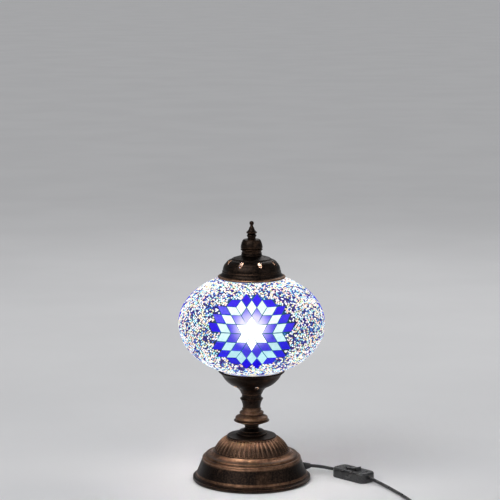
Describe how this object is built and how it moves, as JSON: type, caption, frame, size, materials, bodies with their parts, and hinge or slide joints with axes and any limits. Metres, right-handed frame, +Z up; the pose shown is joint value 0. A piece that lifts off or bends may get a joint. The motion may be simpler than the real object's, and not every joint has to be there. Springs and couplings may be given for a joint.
{
  "type": "table lamp",
  "caption": "Table lamp with a flattened mosaic glass globe, antiqued metal stand and domed cap, mains lead with inline rocker switch and two-pin plug.",
  "frame": {"origin": "where the lamp's axis meets the table, at the underside of the felt pad", "axes": "+Z up along the lamp's axis, -Y towards the front, where one star faces, +X towards the side the lead leaves on"},
  "size_m": [0.3195, 0.3493, 0.355],
  "materials": {
    "felt": "matt felt",
    "iron": "rough cast",
    "antique_bronze": "dark patina rubbed back to copper on raised edges",
    "zinc_steel": "zinc plated",
    "spring_steel": "bright spring strip",
    "holder_plastic": "moulded",
    "holder_brass": "satin",
    "bulb_metal": "satin",
    "bulb_insulator": "vitrified",
    "bulb_glass": "clear",
    "bulb_light": "glowing strips",
    "globe_glass": "clear blown glass",
    "clear_tiles": "cut glass",
    "mid_blue_tiles": "cut glass",
    "pale_tiles": "cut glass",
    "deep_blue_tiles": "cut glass",
    "seed_beads": "mixed seed beads and chips in grout",
    "black_rubber": "satin black",
    "black_gloss_plastic": "gloss"
  },
  "bodies": {
    "stand": {"felt_pad": "felt", "base_weight": "iron", "base_skirt": "antique_bronze", "base_dome": "antique_bronze", "waist_spool": "antique_bronze", "knob_collar": "antique_bronze", "neck_vase": "antique_bronze", "gallery": "antique_bronze", "globe_clips": "spring_steel", "clip_rivets": "zinc_steel", "threaded_tube": "zinc_steel", "lower_washer": "zinc_steel", "lower_nut": "zinc_steel", "upper_nut": "zinc_steel", "holder_base": "holder_plastic", "holder_sleeve": "holder_plastic", "holder_shell": "holder_brass", "holder_contact": "holder_brass", "strain_relief": "black_rubber", "cord_lead_in": "black_rubber", "cord_first_run": "black_rubber", "cord_second_run": "black_rubber", "cord_coil": "black_rubber", "cord_tail": "black_rubber", "plug_relief": "black_rubber", "plug_body": "black_gloss_plastic", "plug_pins": "holder_brass", "switch_base": "black_gloss_plastic", "switch_cover": "black_gloss_plastic", "switch_pin": "zinc_steel", "switch_contacts": "holder_brass", "switch_screws": "zinc_steel", "switch_lead_ends": "black_rubber"},
    "globe": {"globe_glass": "globe_glass", "bead_field": "seed_beads", "star_tiles_clear": "clear_tiles", "star_tiles_mid_blue": "mid_blue_tiles", "star_tiles_pale": "pale_tiles", "star_tiles_deep_blue": "deep_blue_tiles"},
    "cap": {"top_cap": "antique_bronze", "cap_clips": "zinc_steel", "finial_bell": "antique_bronze", "finial_spire": "antique_bronze", "finial_stud": "zinc_steel", "cap_nut": "zinc_steel"},
    "bulb_tip": {"bulb_contact_tip": "bulb_metal"},
    "bulb": {"bulb_cap": "bulb_metal", "bulb_insulator": "bulb_insulator", "bulb_glass": "bulb_glass", "bulb_filament": "bulb_light"},
    "rocker": {"switch_rocker": "black_gloss_plastic", "rocker_bridge": "holder_brass"}
  },
  "joints": [
    {"name": "globe_lift", "type": "slide", "parent": "stand", "child": "globe", "axis": [0, 0, 1], "range_m": [0, 0.15]},
    {"name": "cap_lift", "type": "slide", "parent": "globe", "child": "cap", "axis": [0, 0, 1], "range_m": [0, 0.06]},
    {"name": "bulb_rise", "type": "slide", "parent": "stand", "child": "bulb_tip", "axis": [0, 0, 1], "range_m": [0, 0.0127]},
    {"name": "bulb_turn", "type": "hinge", "parent": "bulb_tip", "child": "bulb", "pos_m": [0, 0, 0.17], "axis": [0, 0, 1], "range_deg": [0, 1620]},
    {"name": "rocker_tilt", "type": "hinge", "parent": "stand", "child": "rocker", "pos_m": [0.139, -0.001, 0.0106], "axis": [0.7193, 0.6947, 0], "range_deg": [0, 16]}
  ],
  "couplings": [
    {"joint": "bulb_rise", "follows": "bulb_turn", "m_per_rad": 0.000449}
  ]
}
